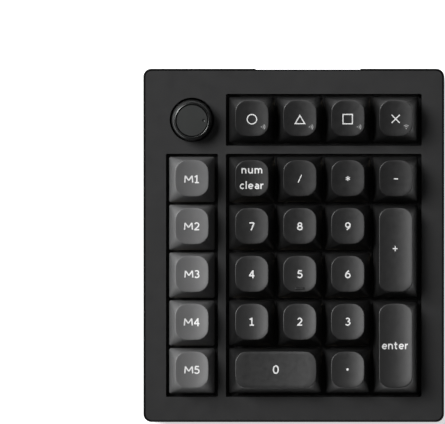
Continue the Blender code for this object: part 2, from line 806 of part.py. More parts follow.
def ribbon_cable():
    """The flat cable that joins the connector board to the main board, folded over in a C."""
    upper, lower = PCB_Z - PCB_THICKNESS - GAP, IO_BOARD_Z + GAP
    thickness = 0.35 * MM
    depth = 3.0 * MM
    outer = [(5.0 * MM, upper), (0, upper), (-depth, upper - 1.5 * MM)]
    outer += [(-depth, lower + 1.5 * MM), (0, lower), (5.0 * MM, lower)]
    inner = [(y + (thickness if y < 0 else 0), z) for y, z in outer]
    inner = [
        (y, z - thickness if z > (upper + lower) / 2 else z + thickness) for y, z in inner
    ]
    section = outer + inner[::-1]

    def strip(bm):
        add_solid(bm, [[Vector((x, y, z)) for y, z in section] for x in (-4 * MM, 4 * MM)])

    return mesh_of(strip)


# ---------------------------------------------------------------- knob and encoder


def knob():
    """The knob with Z = 0 on the deck: a bevelled cap with a sunk top, hollow round the bushing."""
    profile = (
        (0, 6.8), (6.3, 6.8), (6.5, 7.1), (6.75, 7.1), (8.0, 5.4), (8.0, -2.6), (6.9, -2.6),
        (6.9, 2.0), (4.6, 2.0), (4.6, 0.2), (3.3, 0.2), (3.3, 5.8), (0, 5.8),
    )  # fmt: skip
    return turned([(radius * MM, z * MM) for radius, z in profile], 28)


def encoder_body():
    """The encoder's can and threaded bushing, with the well that the shaft and plunger run in."""

    def can(bm):
        add_centred_box(bm, (0, 0), (12.4 * MM, 13.4 * MM), (PCB_Z + GAP, -5.2 * MM))

    def bushing(bm):
        add_cylinder(bm, (0, 0), 4.2 * MM, -6 * MM, -0.6 * MM, 24)

    def bore(bm):
        add_cylinder(bm, (0, 0), SHAFT_RADIUS + GAP, -11.2 * MM, MM, 24)

    steps = [("UNION", mesh_of(bushing)), ("DIFFERENCE", mesh_of(bore))]
    return combine(mesh_of(can), steps)


def encoder_shaft():
    def rod(bm):
        add_cylinder(bm, (0, 0), SHAFT_RADIUS, -8.6 * MM, 5.4 * MM, 20)

    return mesh_of(rod)


def encoder_plunger():
    def disc(bm):
        add_cylinder(bm, (0, 0), 2.6 * MM, -10.5 * MM, -8.9 * MM, 16)

    return mesh_of(disc)


# ---------------------------------------------------------------- assembly


def add_keys(deck):
    meshes = {}
    for name, column, row, wide, deep, profile, colour in KEYS:
        shape = (wide, deep, profile, colour)
        if shape not in meshes:
            meshes[shape] = keycap(wide, deep, profile)
        place = (column * PITCH, row * PITCH, CAP_BASE_Z)
        add_object(f"keycap_{name}", meshes[shape], f"keycap_{colour}", deck, place)


def add_wires(deck):
    for key in DOUBLE_KEYS:
        wide = key[3] > 1
        shift = Vector((0, -STAB_ARM, WIRE_Z) if wide else (-STAB_ARM, 0, WIRE_Z))
        turn = (WIRE_LEAN, 0, 0) if wide else (WIRE_LEAN, 0, -math.pi / 2)
        place = key_centre(key) + shift
        add_object(f"stabiliser_wire_{key[0]}", stabiliser_wire(), "steel", deck, place, turn)


def add_case(root, deck):
    add_object("top_case", top_case(), "case_aluminium", deck)
    add_object("bottom_case", bottom_case(), "case_aluminium", deck)
    pad = foot()
    for corner, place in zip(("front_left", "front_right", "rear_left", "rear_right"), FOOT_PLACES):
        add_object(f"foot_{corner}", pad, "foot_rubber", root, (place[0] * MM, place[1] * MM, 0))
    bolt = screw()
    for corner, point in zip(("front_left", "front_right", "rear_left", "rear_right"), screw_points()):
        place = point + Vector((0, 0, SCREW_HEAD_Z - GAP))
        add_object(f"case_screw_{corner}", bolt, "black_steel", deck, place)


def add_layers(deck):
    add_object("switch_plate", switch_plate(), "switch_plastic", deck)
    add_object("plate_foam", plate_foam(), "foam", deck)
    add_object("main_circuit_board", circuit_board(), "circuit_board", deck)
    add_object("case_foam", case_foam(), "foam", deck)
    side, end = gasket(True), gasket(False)
    edge_x, edge_y = PLATE_SIZE[0] / 2, PLATE_SIZE[1] / 2
    add_object("gasket_right", side, "gasket_rubber", deck, (edge_x, 0, 0))
    add_object("gasket_left", side, "gasket_rubber", deck, (-edge_x, 0, 0), (0, 0, math.pi))
    add_object("gasket_rear", end, "gasket_rubber", deck, (0, edge_y, 0), (0, 0, math.pi / 2))
    add_object("gasket_front", end, "gasket_rubber", deck, (0, -edge_y, 0), (0, 0, -math.pi / 2))
    add_object("battery", battery(), "battery_wrap", deck, (0, 26 * MM, -21.4 * MM))


def add_connectors(deck):
    middle = (RECESS_X[0] + RECESS_X[1]) / 2
    add_object("connector_board", io_board(), "circuit_board", deck, (middle, 59 * MM, 0))
    add_object("usb_c_port", usb_c_port(), "steel", deck, (PORT_X, 68.2 * MM, PORT_Z))
    front = IO_WALL_Y - GAP
    add_object("mode_switch_body", slide_switch(9.6 * MM, 7.2 * MM), "steel", deck, (MODE_X, front, PORT_Z))
    add_object("system_switch_body", slide_switch(7.6 * MM, 5.2 * MM), "steel", deck, (SYSTEM_X, front, PORT_Z))
    add_object("mode_switch_lever", switch_lever(), "lever_plastic", deck, (MODE_X, front, PORT_Z))
    add_object("system_switch_lever", switch_lever(), "lever_plastic", deck, (SYSTEM_X - MM, front, PORT_Z))
    add_object("ribbon_cable", ribbon_cable(), "lever_plastic", deck, (12 * MM, 53 * MM, 0))


def add_knob(deck):
    place = (*KNOB_PLACE, 0)
    add_object("knob", knob(), "knob_aluminium", deck, place)
    add_object("encoder_body", encoder_body(), "steel", deck, place)
    add_object("encoder_shaft", encoder_shaft(), "steel", deck, place)
    add_object("encoder_plunger", encoder_plunger(), "lever_plastic", deck, place)


def main():
    for leftover in list(bpy.data.objects):
        bpy.data.objects.remove(leftover)
    root = add_empty("keypad")
    deck = add_empty("deck", root)
    deck.matrix_local = deck_matrix()
    add_case(root, deck)
    add_layers(deck)
    add_keys(deck)
    add_wires(deck)
    add_connectors(deck)
    add_knob(deck)


main()
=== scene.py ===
import math

import bmesh
import bpy
from mathutils import Matrix, Vector
from mathutils.geometry import delaunay_2d_cdt


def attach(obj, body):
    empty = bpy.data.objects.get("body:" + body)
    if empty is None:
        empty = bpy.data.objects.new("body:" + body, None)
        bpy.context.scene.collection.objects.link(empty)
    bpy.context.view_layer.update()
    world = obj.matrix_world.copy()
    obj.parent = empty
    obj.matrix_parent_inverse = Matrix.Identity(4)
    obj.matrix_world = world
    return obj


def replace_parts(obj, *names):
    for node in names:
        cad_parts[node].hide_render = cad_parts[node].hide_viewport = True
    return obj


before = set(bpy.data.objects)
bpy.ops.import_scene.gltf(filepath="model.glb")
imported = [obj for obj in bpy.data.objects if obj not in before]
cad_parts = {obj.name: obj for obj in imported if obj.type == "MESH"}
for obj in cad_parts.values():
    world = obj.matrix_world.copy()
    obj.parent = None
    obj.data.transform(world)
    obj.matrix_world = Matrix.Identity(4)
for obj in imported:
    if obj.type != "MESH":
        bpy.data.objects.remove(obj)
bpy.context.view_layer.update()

# Everything below is given in millimetres in the deck's own frame: X to the right, Y to the rear, Z up
# out of the deck, with Z = 0 on the case's top face. DECK takes it to metres in the shared frame.
MM = 0.001
MICRON = 1e-6
PITCH = 19.05
TYPING_ANGLE = math.radians(5.2)
WINDOW_GAP = 0.8
CASE_BORDER = 10.05
CASE_DEPTH = 6.25 * PITCH + 2 * (WINDOW_GAP + CASE_BORDER)
FRONT_EDGE_HEIGHT = 21.5
LIFT = FRONT_EDGE_HEIGHT + CASE_DEPTH / 2 * math.sin(TYPING_ANGLE)
DECK_LEAN = Matrix.Rotation(TYPING_ANGLE, 4, "X")
DECK = Matrix.Translation((0, 0, LIFT * MM)) @ DECK_LEAN @ Matrix.Scale(MM, 4)
DECK_UP = (0, -math.sin(TYPING_ANGLE), math.cos(TYPING_ANGLE))

COLUMNS = (-0.875, 0.125, 1.125, 2.125)  # in pitches from the middle of the deck
MACRO_COLUMN = -2.125
ROWS = (2.625, 1.375, 0.375, -0.625, -1.625, -2.625)
KNOB_PLACE = (MACRO_COLUMN * PITCH, ROWS[0] * PITCH, 0.0)

CAP_BASE_Z = -1.4
CAP_BASE = 18.1
CAP_TAPER = (4.9, 3.7)  # how much less wide and deep the top is than the base
CAP_SHIFT = 1.0  # how far the middle of the top lies to the rear of the middle of the base
CAP_WALL = 1.4
ROOF = 2.4
DISH = 0.97  # depth of the hollow that runs from the front to the rear of a top
DISH_ALONG = 0.05  # share of that depth that the hollow also has lengthwise
TOP_RADIUS = 3.3
TOP_BULGE = 0.65
BASE_RADIUS = 0.7
RIM_ROUNDING = 0.26
PROFILES = {  # height of the top's left and right edges at mid-length, and its lean in degrees
    "rear": (11.0, 5.0),
    "upper": (9.9, 1.5),
    "home": (9.5, -2.0),
    "lower": (9.7, -4.0),
}
STAB_REACH = 11.94
WIRE_Z = -8.6
TRAVEL = 3.6

KEYS = (  # name, column, row, pitches wide, pitches deep, profile
    ("circle", COLUMNS[0], ROWS[0], 1, 1, "rear"),
    ("triangle", COLUMNS[1], ROWS[0], 1, 1, "rear"),
    ("square", COLUMNS[2], ROWS[0], 1, 1, "rear"),
    ("cross", COLUMNS[3], ROWS[0], 1, 1, "rear"),
    ("m1", MACRO_COLUMN, ROWS[1], 1, 1, "rear"),
    ("m2", MACRO_COLUMN, ROWS[2], 1, 1, "upper"),
    ("m3", MACRO_COLUMN, ROWS[3], 1, 1, "home"),
    ("m4", MACRO_COLUMN, ROWS[4], 1, 1, "lower"),
    ("m5", MACRO_COLUMN, ROWS[5], 1, 1, "lower"),
    ("num_clear", COLUMNS[0], ROWS[1], 1, 1, "rear"),
    ("divide", COLUMNS[1], ROWS[1], 1, 1, "rear"),
    ("multiply", COLUMNS[2], ROWS[1], 1, 1, "rear"),
    ("minus", COLUMNS[3], ROWS[1], 1, 1, "rear"),
    ("7", COLUMNS[0], ROWS[2], 1, 1, "upper"),
    ("8", COLUMNS[1], ROWS[2], 1, 1, "upper"),
    ("9", COLUMNS[2], ROWS[2], 1, 1, "upper"),
    ("plus", COLUMNS[3], (ROWS[2] + ROWS[3]) / 2, 1, 2, "home"),
    ("4", COLUMNS[0], ROWS[3], 1, 1, "home"),
    ("5", COLUMNS[1], ROWS[3], 1, 1, "home"),
    ("6", COLUMNS[2], ROWS[3], 1, 1, "home"),
    ("1", COLUMNS[0], ROWS[4], 1, 1, "lower"),
    ("2", COLUMNS[1], ROWS[4], 1, 1, "lower"),
    ("3", COLUMNS[2], ROWS[4], 1, 1, "lower"),
    ("enter", COLUMNS[3], (ROWS[4] + ROWS[5]) / 2, 1, 2, "lower"),
    ("0", (COLUMNS[0] + COLUMNS[1]) / 2, ROWS[5], 2, 1, "lower"),
    ("point", COLUMNS[2], ROWS[5], 1, 1, "lower"),
)


# ---------------------------------------------------------------- materials


NOISE_RANGE = (0.3, 0.7)  # nearly all of a noise pattern lies between these


class Finish:
    """A node material on one Principled shader, with the pattern nodes that its kind needs."""

    def __init__(self, name, roughness=0.5, metallic=0.0, specular=0.5):
        self.material = bpy.data.materials.new(name)
        self.material.use_nodes = True
        self.nodes = self.material.node_tree.nodes
        self.links = self.material.node_tree.links
        self.shader = self.nodes["Principled BSDF"]
        self.shader.inputs["Roughness"].default_value = roughness
        self.shader.inputs["Metallic"].default_value = metallic
        self.shader.inputs["Specular IOR Level"].default_value = specular
        self.place = self.nodes.new("ShaderNodeTexCoord").outputs["Object"]
        self.height = None

    def noise(self, size, detail=2.0, stretch=None):
        """Grey cloud whose features are about size millimetres across."""
        node = self.nodes.new("ShaderNodeTexNoise")
        node.inputs["Scale"].default_value = 1 / (size * MM)
        node.inputs["Detail"].default_value = detail
        place = self.place
        if stretch:
            mapping = self.nodes.new("ShaderNodeMapping")
            mapping.inputs["Scale"].default_value = stretch
            self.links.new(place, mapping.inputs["Vector"])
            place = mapping.outputs["Vector"]
        self.links.new(place, node.inputs["Vector"])
        return node.outputs["Fac"]

    def cells(self, size, feature="F1"):
        """Distances inside cells that are about size millimetres across."""
        node = self.nodes.new("ShaderNodeTexVoronoi")
        node.feature = feature
        node.inputs["Scale"].default_value = 1 / (size * MM)
        self.links.new(self.place, node.inputs["Vector"])
        return node.outputs["Distance"]

    def ramp(self, value, stops):
        """Turns a grey value into a colour; stops are two pairs of position and colour."""
        node = self.nodes.new("ShaderNodeValToRGB")
        for element, (position, colour) in zip(node.color_ramp.elements, stops):
            element.position = position
            element.color = (*colour, 1)
        self.links.new(value, node.inputs["Fac"])
        return node.outputs["Color"]

    def between(self, value, low, high):
        """Turns a noise pattern into a value that runs from low to high."""
        node = self.nodes.new("ShaderNodeMapRange")
        node.inputs["From Min"].default_value = NOISE_RANGE[0]
        node.inputs["From Max"].default_value = NOISE_RANGE[1]
        node.inputs["To Min"].default_value = low
        node.inputs["To Max"].default_value = high
        self.links.new(value, node.inputs["Value"])
        return node.outputs["Result"]

    def math(self, operation, first, second=0.0):
        node = self.nodes.new("ShaderNodeMath")
        node.operation = operation
        for socket, value in zip(node.inputs, (first, second)):
            if isinstance(value, float):
                socket.default_value = value
            else:
                self.links.new(value, socket)
        return node.outputs["Value"]

    def mix(self, share, first, second):
        node = self.nodes.new("ShaderNodeMix")
        node.data_type = "RGBA"
        self.links.new(share, node.inputs["Factor"])
        sockets = [s for s in node.inputs if s.type == "RGBA"]
        for socket, value in zip(sockets, (first, second)):
            if isinstance(value, tuple):
                socket.default_value = (*value, 1)
            else:
                self.links.new(value, socket)
        return [s for s in node.outputs if s.type == "RGBA"][0]

    def set(self, socket, value):
        self.links.new(value, self.shader.inputs[socket])

    def colour(self, value, first, second):
        """Lets the base colour run from first to second with a noise pattern."""
        self.set("Base Color", self.ramp(value, zip(NOISE_RANGE, (first, second))))

    def sheen(self, size, low, high):
        """Lets the roughness wander from low to high in patches about size millimetres across."""
        self.set("Roughness", self.between(self.noise(size), low, high))

    def bump(self, value, depth):
        """Adds relief, depth micrometres deep, to what is there already."""
        node = self.nodes.new("ShaderNodeBump")
        node.inputs["Distance"].default_value = depth * MICRON
        node.inputs["Strength"].default_value = 1.0
        self.links.new(value, node.inputs["Height"])
        if self.height:
            self.links.new(self.height, node.inputs["Normal"])
        self.height = node.outputs["Normal"]
        self.set("Normal", self.height)


def shade(colour, factor):
    return tuple(channel * factor for channel in colour)


def along_deck_up(finish, vector):
    """How far a vector reaches along the deck's upward normal."""
    node = finish.nodes.new("ShaderNodeVectorMath")
    node.operation = "DOT_PRODUCT"
    node.inputs[1].default_value = DECK_UP
    finish.links.new(vector, node.inputs[0])
    return node.outputs["Value"]


def moulded_plastic(name, colour, roughness, grain=14.0, specular=0.5):
    """Moulded plastic: faint clouding, an uneven sheen and a fine spark-eroded grain."""
    finish = Finish(name, roughness, 0.0, specular)
    finish.colour(finish.noise(9.0), shade(colour, 0.94), shade(colour, 1.06))
    finish.sheen(2.2, roughness - 0.04, roughness + 0.04)
    finish.bump(finish.noise(0.16, 3.0), grain)
    return finish.material


# The bevel's faces are found by the way they point. They get painted shade: a near-black colour that
# stands in for the dark room they reflect. Their metallic, smoother finish is real polish.
BEVEL_LEAN = 0.6  # how far the bevel's faces point up, on a scale from 0 for a wall to 1 for the deck
BEVEL_LEAN_SPREAD = 0.27
BEVEL_PAINTED_SHADE = (0.004, 0.004, 0.0042)
BEVEL_METALLIC = 0.95
BEVEL_POLISH = 0.25  # how much smoother the bevel is than the blasted faces


def anodised_case(name, colour):
    """Bead-blasted, anodised aluminium with a smooth, metallic cut bevel round the top edge, painted
    near-black there as painted shade.
    """
    finish = Finish(name, 0.5, 0.0, 0.35)
    cloud = finish.noise(26.0, 3.0)
    skin = finish.ramp(cloud, zip(NOISE_RANGE, (shade(colour, 0.97), shade(colour, 1.03))))
    geometry = finish.nodes.new("ShaderNodeNewGeometry")
    lean = along_deck_up(finish, geometry.outputs["True Normal"])
    off_bevel = finish.math("ABSOLUTE", finish.math("SUBTRACT", lean, BEVEL_LEAN))
    bevel = finish.math("LESS_THAN", off_bevel, BEVEL_LEAN_SPREAD)
    # painted shade: faces that point up as the bevel does get the near-black colour in place of the
    # case's own
    finish.set("Base Color", finish.mix(bevel, skin, BEVEL_PAINTED_SHADE))
    rough = finish.between(finish.noise(5.0), 0.46, 0.56)
    polish = finish.math("MULTIPLY", bevel, BEVEL_POLISH)
    finish.set("Roughness", finish.math("SUBTRACT", rough, polish))
    finish.set("Metallic", finish.math("MULTIPLY", bevel, BEVEL_METALLIC))
    finish.bump(finish.noise(0.12, 2.0), 9.0)
    return finish.material


def turned_aluminium(name, colour, metallic, roughness):
    """Anodised aluminium with fine turning rings round the knob's axis."""
    finish = Finish(name, roughness, metallic, 0.5)
    mapping = finish.nodes.new("ShaderNodeMapping")
    mapping.vector_type = "TEXTURE"
    mapping.inputs["Location"].default_value = DECK @ Vector(KNOB_PLACE)
    mapping.inputs["Rotation"].default_value = (TYPING_ANGLE, 0, 0)
    finish.links.new(finish.place, mapping.inputs["Vector"])
    rings = finish.nodes.new("ShaderNodeTexWave")
    rings.wave_type = "RINGS"
    rings.rings_direction = "Z"
    rings.inputs["Scale"].default_value = 1 / (6.0 * MM)
    rings.inputs["Distortion"].default_value = 0.4
    finish.links.new(mapping.outputs["Vector"], rings.inputs["Vector"])
    finish.colour(finish.noise(9.0), shade(colour, 0.98), shade(colour, 1.02))
    finish.sheen(7.0, roughness - 0.02, roughness + 0.02)
    finish.bump(rings.outputs["Fac"], 3.0)
    finish.bump(finish.noise(0.1), 3.0)
    return finish.material


def rubber(name, colour):
    """Dull rubber with a coarse, speckled skin."""
    finish = Finish(name, 0.8, 0.0, 0.3)
    speck = finish.noise(0.5, 4.0)
    finish.colour(speck, shade(colour, 0.8), shade(colour, 1.25))
    finish.sheen(3.0, 0.72, 0.88)
    finish.bump(speck, 30.0)
    return finish.material


def foam(name, colour):
    """Open-celled foam, with painted shade that darkens it down in its cells."""
    finish = Finish(name, 0.95, 0.0, 0.1)
    cells = finish.cells(0.45)
    # painted shade: the colour falls to 0.4 of the foam's own towards the bottom of each cell
    finish.set("Base Color", finish.ramp(cells, ((0.0, shade(colour, 0.4)), (0.6, colour))))
    finish.sheen(1.0, 0.9, 1.0)
    finish.bump(cells, 90.0)
    return finish.material


def brushed_steel(name, colour, roughness, stretch=(1, 8, 1)):
    """Steel with streaks, or with even specks where stretch is the same all ways."""
    finish = Finish(name, roughness, 1.0)
    streak = finish.noise(0.6, 3.0, stretch)
    finish.colour(streak, shade(colour, 0.88), colour)
    finish.sheen(1.6, roughness - 0.06, roughness + 0.08)
    finish.bump(streak, 2.0)
    return finish.material


TRACK_COLOUR = (0.030, 0.036, 0.032)
MASK_COLOUR = (0.010, 0.012, 0.011)


def circuit_board(name):
    """Black solder mask over a net of straight tracks."""
    finish = Finish(name, 0.35, 0.0, 0.5)
    tracks = finish.cells(3.2, "DISTANCE_TO_EDGE")
    finish.set("Base Color", finish.ramp(tracks, ((0.0, TRACK_COLOUR), (0.06, MASK_COLOUR))))
    finish.sheen(2.0, 0.28, 0.42)
    finish.bump(finish.math("LESS_THAN", tracks, 0.05), 30.0)
    return finish.material


PLATE_MIDDLE_Z = -7.75
PLATE_REACH = 0.78  # half the plate's thickness and a little more, so that its faces are inside
CREAM = ((0.42, 0.36, 0.27), (0.47, 0.40, 0.31))
POWDER_COAT = ((0.012, 0.012, 0.013), (0.018, 0.018, 0.019))


def switches_and_plate(name):
    """A black powder-coated steel plate with the cream switch housings that stand in it."""
    finish = Finish(name, 0.5)
    deck_level = LIFT * MM * math.cos(TYPING_ANGLE)
    level = finish.math("SUBTRACT", along_deck_up(finish, finish.place), deck_level)
    off_plate = finish.math("ABSOLUTE", finish.math("ADD", level, -PLATE_MIDDLE_Z * MM))
    in_plate = finish.math("LESS_THAN", off_plate, PLATE_REACH * MM)
    cream = finish.ramp(finish.noise(3.0), zip(NOISE_RANGE, CREAM))
    plate = finish.ramp(finish.noise(0.4), zip(NOISE_RANGE, POWDER_COAT))
    finish.set("Base Color", finish.mix(in_plate, cream, plate))
    finish.sheen(1.4, 0.42, 0.58)
    finish.bump(finish.noise(0.2, 3.0), 20.0)
    return finish.material


def pale_floor(name):
    """An even, matt white sheet that glows a little, as a lit studio table does."""
    finish = Finish(name, 0.85, 0.0, 0.1)
    finish.colour(finish.noise(60.0), (0.88, 0.88, 0.88), (0.90, 0.90, 0.90))
    finish.shader.inputs["Emission Color"].default_value = (1, 1, 1, 1)
    finish.shader.inputs["Emission Strength"].default_value = 0.6
    finish.sheen(8.0, 0.8, 0.9)
    finish.bump(finish.noise(1.5), 20.0)
    return finish.material


def make_finishes():
    black, grey = (0.0033, 0.0033, 0.0034), (0.104, 0.104, 0.105)
    return {
        "case": anodised_case("case_anodised", (0.0182, 0.0182, 0.0186)),
        "knob_disc": turned_aluminium("knob_disc_turned", (0.036, 0.038, 0.037), 0.35, 0.40),
        "knob": turned_aluminium("knob_turned", (0.085, 0.087, 0.086), 1.0, 0.32),
        "black": moulded_plastic("keycap_black_plastic", black, 0.475, specular=0.82),
        "grey": moulded_plastic("keycap_grey_plastic", grey, 0.45, specular=0.65),
        "legend": moulded_plastic("legend_white_plastic", (0.72, 0.72, 0.72), 0.5, 6.0),
        "mark": moulded_plastic("mark_grey_plastic", (0.30, 0.30, 0.30), 0.5, 6.0),
        "slider": moulded_plastic("slider_brown_plastic", (0.075, 0.024, 0.012), 0.4),
        "plate": switches_and_plate("switches_and_plate_mix"),
        "lever": moulded_plastic("lever_black_plastic", (0.02, 0.02, 0.02), 0.45),
        "cable": moulded_plastic("cable_film", (0.35, 0.33, 0.28), 0.4),
        "wrap": moulded_plastic("battery_wrap_film", (0.05, 0.09, 0.14), 0.35),
        "foot": rubber("foot_rubber_mix", (0.014, 0.014, 0.014)),
        "gasket": rubber("gasket_rubber_mix", (0.02, 0.02, 0.02)),
        "foam": foam("foam_cells", (0.03, 0.03, 0.031)),
        "steel": brushed_steel("bright_steel", (0.55, 0.54, 0.52), 0.28),
        "screw": brushed_steel("blackened_steel", (0.05, 0.05, 0.052), 0.35, (1, 1, 1)),
        "board": circuit_board("solder_mask"),
        "floor": pale_floor("pale_floor"),
    }


# ---------------------------------------------------------------- mesh helpers


def make_piece(name, verts, faces, finish, body, smooth_angle=math.radians(40)):
    """Adds a piece whose corners are given in the deck's frame, with its faces turned outwards."""
    bm = bmesh.new()
    corners = [bm.verts.new(DECK @ Vector(v)) for v in verts]
    for face in faces:
        bm.faces.new([corners[i] for i in face])
    bmesh.ops.recalc_face_normals(bm, faces=bm.faces)
    for face in bm.faces:
        face.smooth = True
    for edge in bm.edges:
        if len(edge.link_faces) == 2 and edge.calc_face_angle(0) > smooth_angle:
            edge.smooth = False
    piece = link_mesh(name, bm, finish)
    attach(piece, body)
    return piece


def link_mesh(name, bm, finish):
    mesh = bpy.data.meshes.new(name)
    bm.to_mesh(mesh)
    bm.free()
    mesh.materials.append(finish)
    piece = bpy.data.objects.new(name, mesh)
    bpy.context.scene.collection.objects.link(piece)
    return piece


QUARTERS = ((1, 1), (-1, 1), (-1, -1), (1, -1))


class Solid:
    """Collects closed lofts and boxes into one list of corners and faces."""

    def __init__(self):
        self.verts = []
        self.faces = []

    def loft(self, rings, start_apex=None, end_apex=None):
        """Joins rings of equal length, and closes each end with a fan or a flat face."""
        base = len(self.verts)
        count = len(rings[0])
        for ring in rings:
            self.verts.extend(ring)
        for level in range(len(rings) - 1):
            low = base + level * count
            for i in range(count):
                j = (i + 1) % count
                self.faces.append((low + i, low + j, low + count + j, low + count + i))
        last = base + (len(rings) - 1) * count
        self.close(tuple(base + i for i in reversed(range(count))), start_apex)
        self.close(tuple(last + i for i in range(count)), end_apex)

    def close(self, ring, apex):
        if apex is None:
            self.faces.append(ring)
            return
        tip = len(self.verts)
        self.verts.append(apex)
        for i, corner in enumerate(ring):
            self.faces.append((corner, ring[(i + 1) % len(ring)], tip))

    def box(self, centre, size, z, edge=0.15):
        """A box with its upright edges and its rims cut back a little."""
        half_x, half_y = size[0] / 2, size[1] / 2
        low, high = z

        def ring(inset, height):
            a, b = half_x - inset, half_y - inset
            corners = []
            for sx, sy in QUARTERS:
                pair = ((a, b - edge), (a - edge, b)) if sx * sy > 0 else ((a - edge, b), (a, b - edge))
                for x, y in pair:
                    corners.append((centre[0] + sx * x, centre[1] + sy * y, height))
            return corners

        self.loft([ring(edge, low), ring(0, low + edge), ring(0, high - edge), ring(edge, high)])


def circle(radius, z, count, centre=(0.0, 0.0)):
    points = []
    for i in range(count):
        angle = i * (2 * math.pi / count)
        points.append((centre[0] + radius * math.cos(angle), centre[1] + radius * math.sin(angle), z))
    return points


def blend_points(first, second, share):
    return tuple(a + (b - a) * share for a, b in zip(first, second))


# ---------------------------------------------------------------- keycaps

SIDE_STEPS = 10
CORNER_STEPS = 8


def squircle(half_x, half_y, radius, bulge):
    """Points round a rectangle with round corners, its sides bowed outwards to half_x and half_y."""
    flat_x, flat_y = half_x - bulge, half_y - bulge
    points = []
    for quarter, (sx, sy) in enumerate(QUARTERS):
        cx, cy = sx * (flat_x - radius), sy * (flat_y - radius)
        for i in range(CORNER_STEPS):
            angle = (quarter + i / CORNER_STEPS) * math.pi / 2
            points.append((cx + radius * math.cos(angle), cy + radius * math.sin(angle)))
        angle = (quarter + 1) * math.pi / 2
        reach_x, reach_y = radius * math.cos(angle), radius * math.sin(angle)
        start = (cx + reach_x, cy + reach_y)
        tx, ty = QUARTERS[(quarter + 1) % 4]
        end = (tx * (flat_x - radius) + reach_x, ty * (flat_y - radius) + reach_y)
        for i in range(SIDE_STEPS):
            points.append(blend_points(start, end, i / SIDE_STEPS))
    return [bowed_point(point, (half_x, half_y), bulge) for point in points]


def bowed_point(point, half, bulge):
    """Moves a point of the flat-sided outline outwards, most at the middle of a side.

    The power keeps the long sides of a double key straight until close to its corners.
    """
    x, y = point
    reach_x, reach_y = x / (half[0] - bulge), y / (half[1] - bulge)
    power_x = 2 * max(1.0, half[0] / half[1]) ** 2
    power_y = 2 * max(1.0, half[1] / half[0]) ** 2
    bow_x = bulge * reach_x * max(0.0, 1 - abs(reach_y) ** power_y)
    bow_y = bulge * reach_y * max(0.0, 1 - abs(reach_x) ** power_x)
    return (x + bow_x, y + bow_y)


class CapShape:
    """The outline and the dished top of one kind of keycap, with its base at Z = 0."""

    def __init__(self, wide, deep, profile):
        self.wide, self.deep = wide, deep
        self.height, lean = PROFILES[profile]
        self.slope = math.tan(math.radians(lean))
        self.base = (CAP_BASE + (wide - 1) * PITCH, CAP_BASE + (deep - 1) * PITCH)
        self.top = (self.base[0] - CAP_TAPER[0], self.base[1] - CAP_TAPER[1])

    def surface(self, x, y):
        """Height of the top face; y counts from the middle of the base."""
        across, along = 2 * x / self.top[0], 2 * (y - CAP_SHIFT) / self.top[1]
        hollow = DISH * (1 - across**2 - DISH_ALONG * along**2)
        return self.height - hollow + self.slope * (y - CAP_SHIFT)


TOP_SHARES = (0.12, 0.25, 0.38, 0.5, 0.62, 0.73, 0.83)  # rings on the top, out from its middle
SIDE_SHARES = (0.25, 0.5, 0.75, 0.985)  # rings down the side, the last just above the foot
RIM_STEPS = 4
FOOT_EDGE = 0.15
MOUTH_HEIGHT = 0.2
HOLLOW_RADIUS = 0.6


def cap_shell(solid, shape):
    """Outer skin from the middle of the top down to the base, and the hollow inside it."""
    ceiling = shape.height - ROOF
    centre = (0.0, CAP_SHIFT, shape.surface(0.0, CAP_SHIFT))
    solid.loft(skin_rings(shape) + hollow_rings(shape, ceiling), centre, None)
    return ceiling


def skin_rings(shape):
    top_outline = squircle(shape.top[0] / 2, shape.top[1] / 2, TOP_RADIUS, TOP_BULGE)
    base_outline = squircle(shape.base[0] / 2, shape.base[1] / 2, BASE_RADIUS, 0.0)
    rim = [(x, y + CAP_SHIFT, shape.surface(x, y + CAP_SHIFT)) for x, y in top_outline]
    foot = [(x, y, 0.0) for x, y in base_outline]

    def on_top(scale):
        inner = [(x * scale, y * scale + CAP_SHIFT) for x, y in top_outline]
        return [(x, y, shape.surface(x, y)) for x, y in inner]

    def on_side(share):
        return [blend_points(a, b, share) for a, b in zip(rim, foot)]

    rings = [on_top(share) for share in TOP_SHARES]
    inside = on_top(1 - 2 * RIM_ROUNDING / shape.top[0])
    outside = on_side(RIM_ROUNDING / shape.height)
    for i in range(RIM_STEPS + 1):
        share = i / RIM_STEPS
        ring = []
        for a, corner, b in zip(inside, rim, outside):
            inner, outer = blend_points(a, corner, share), blend_points(corner, b, share)
            ring.append(blend_points(inner, outer, share))
        rings.append(ring)
    rings += [on_side(share) for share in SIDE_SHARES]
    return rings


def hollow_rings(shape, ceiling):
    """From the foot round the lip, up the inner wall to the ceiling."""
    base = (shape.base[0] / 2, shape.base[1] / 2)
    mouth = (base[0] - CAP_WALL, base[1] - CAP_WALL)
    share = ceiling / shape.height
    roof = [mouth[i] - share * CAP_TAPER[i] / 2 for i in (0, 1)]
    foot = squircle(base[0] - FOOT_EDGE, base[1] - FOOT_EDGE, BASE_RADIUS, 0.0)
    lip = squircle(mouth[0] + FOOT_EDGE, mouth[1] + FOOT_EDGE, HOLLOW_RADIUS, 0.0)
    wall = squircle(mouth[0], mouth[1], HOLLOW_RADIUS, 0.0)
    top = squircle(roof[0], roof[1], HOLLOW_RADIUS, 0.0)
    return [
        [(x, y, 0.0) for x, y in foot],
        [(x, y, 0.0) for x, y in lip],
        [(x, y, MOUTH_HEIGHT) for x, y in wall],
        [(x, y + share * CAP_SHIFT, ceiling) for x, y in top],
    ]


SOCKET_ARM = 2.0
SOCKET_HALF = 0.66
SOCKET_DEPTH = 3.6
BOSS_RADIUS = 2.7
BOSS_Z = -0.6
INTO_ROOF = 0.4  # how far the boss and the posts reach into the roof


